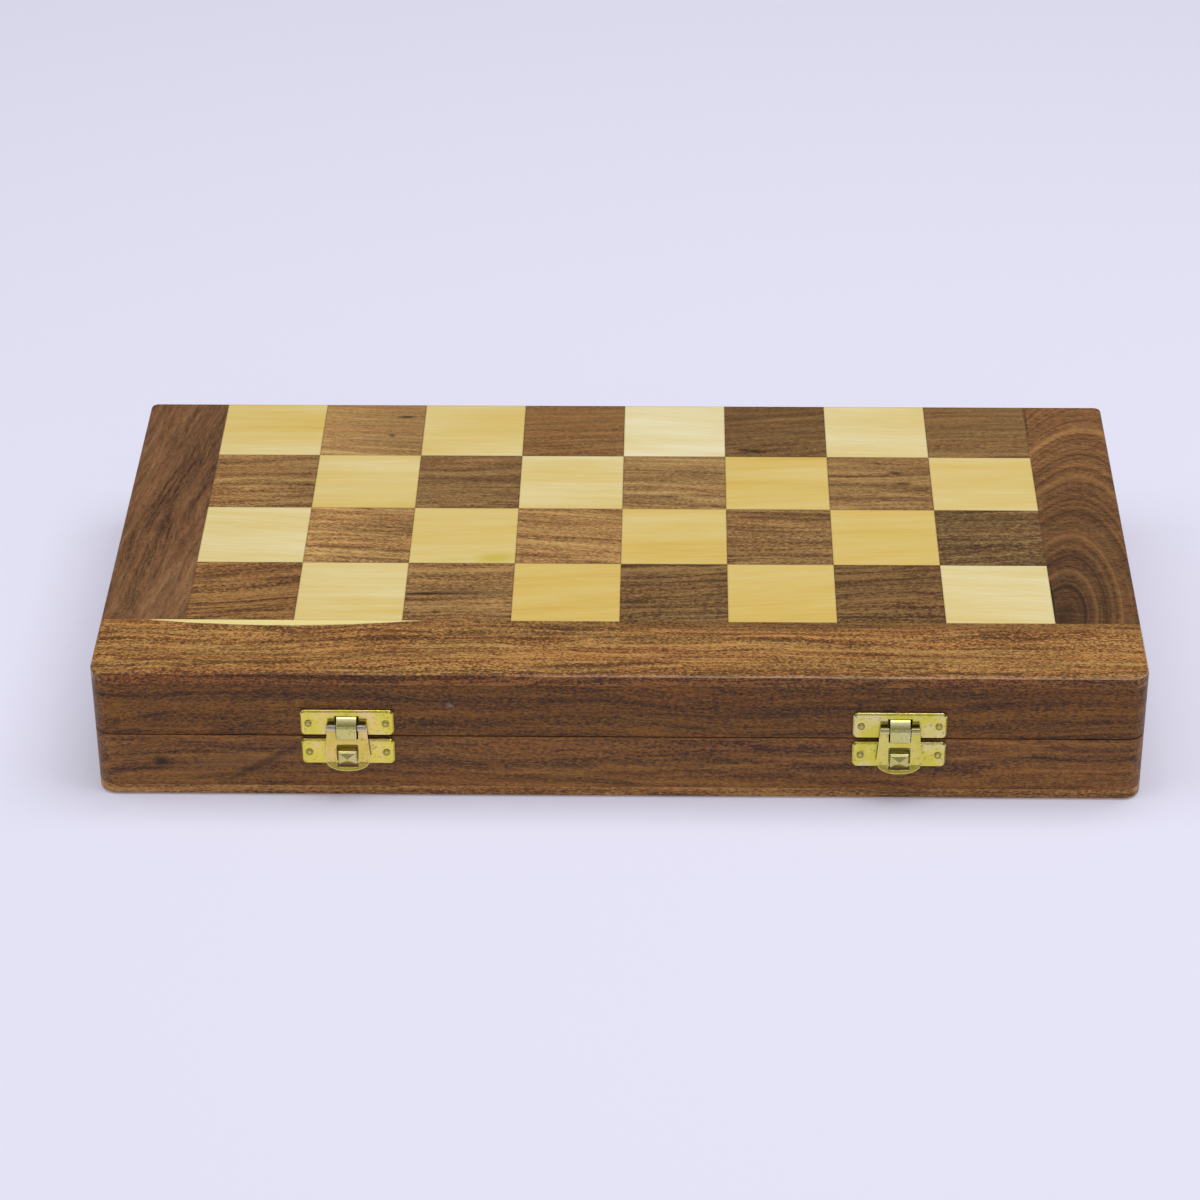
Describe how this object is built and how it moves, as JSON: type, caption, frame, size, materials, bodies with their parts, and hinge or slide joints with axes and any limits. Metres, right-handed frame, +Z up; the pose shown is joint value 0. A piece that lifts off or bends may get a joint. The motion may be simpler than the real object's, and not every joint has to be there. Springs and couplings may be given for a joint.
{
  "type": "folding chess box",
  "caption": "Flat wooden chess box with a chequered board inlaid in both faces, a lid on back hinges and swing latches at the front.",
  "frame": {"origin": "bottom centre of the wooden case, hardware left out", "axes": "+X along the width, -Y towards the front with the latches, +Z up through the lid"},
  "size_m": [0.306, 0.1632, 0.0425],
  "materials": {
    "rail_wood": "satin lacquered brown hardwood with long dark streaks",
    "border_wood": "satin lacquered warm brown hardwood",
    "dark_square_wood": "satin lacquered mid brown hardwood",
    "light_square_wood": "satin lacquered pale yellow hardwood",
    "backing_plywood": "sanded plywood",
    "lining_felt": "green wool felt",
    "hinge_brass": "drawn and rolled brass",
    "latch_brass": "bright brass-plated pressed steel",
    "nail_brass": "brass-plated nail heads",
    "screw_brass": "slotted brass screws",
    "axle_steel": "bright drawn steel wire"
  },
  "bodies": {
    "base": {"base_backing_panel": "backing_plywood", "base_catch_nails": "nail_brass", "base_dark_squares": "dark_square_wood", "base_floor_lining": "lining_felt", "base_front_border": "border_wood", "base_front_rail": "rail_wood", "base_hinge_screws": "screw_brass", "base_left_border": "border_wood", "base_left_rail": "rail_wood", "base_light_squares": "light_square_wood", "base_rear_rail": "rail_wood", "base_right_border": "border_wood", "base_right_rail": "rail_wood", "base_wall_lining": "lining_felt", "left_catch_plate": "latch_brass", "left_hinge_base_leaf": "hinge_brass", "left_hinge_pin": "axle_steel", "right_catch_plate": "latch_brass", "right_hinge_base_leaf": "hinge_brass", "right_hinge_pin": "axle_steel"},
    "lid": {"left_hinge_lid_leaf": "hinge_brass", "left_lever_axle": "axle_steel", "left_lever_plate": "latch_brass", "lid_backing_panel": "backing_plywood", "lid_dark_squares": "dark_square_wood", "lid_floor_lining": "lining_felt", "lid_front_border": "border_wood", "lid_front_rail": "rail_wood", "lid_hinge_screws": "screw_brass", "lid_left_border": "border_wood", "lid_left_rail": "rail_wood", "lid_light_squares": "light_square_wood", "lid_plate_nails": "nail_brass", "lid_rear_rail": "rail_wood", "lid_right_border": "border_wood", "lid_right_rail": "rail_wood", "lid_wall_lining": "lining_felt", "right_hinge_lid_leaf": "hinge_brass", "right_lever_axle": "axle_steel", "right_lever_plate": "latch_brass"},
    "left_lever": {"left_latch_lever": "latch_brass"},
    "right_lever": {"right_latch_lever": "latch_brass"}
  },
  "joints": [
    {"name": "lid_hinge", "type": "hinge", "parent": "base", "child": "lid", "pos_m": [0, 0.07875, 0.02125], "axis": [-1, 0, 0], "range_deg": [0, 180]},
    {"name": "left_latch_swing", "type": "hinge", "parent": "lid", "child": "left_lever", "pos_m": [-0.0788, -0.081, 0.02565], "axis": [-1, 0, 0], "range_deg": [0, 170]},
    {"name": "right_latch_swing", "type": "hinge", "parent": "lid", "child": "right_lever", "pos_m": [0.0816, -0.081, 0.02565], "axis": [-1, 0, 0], "range_deg": [0, 170]}
  ]
}
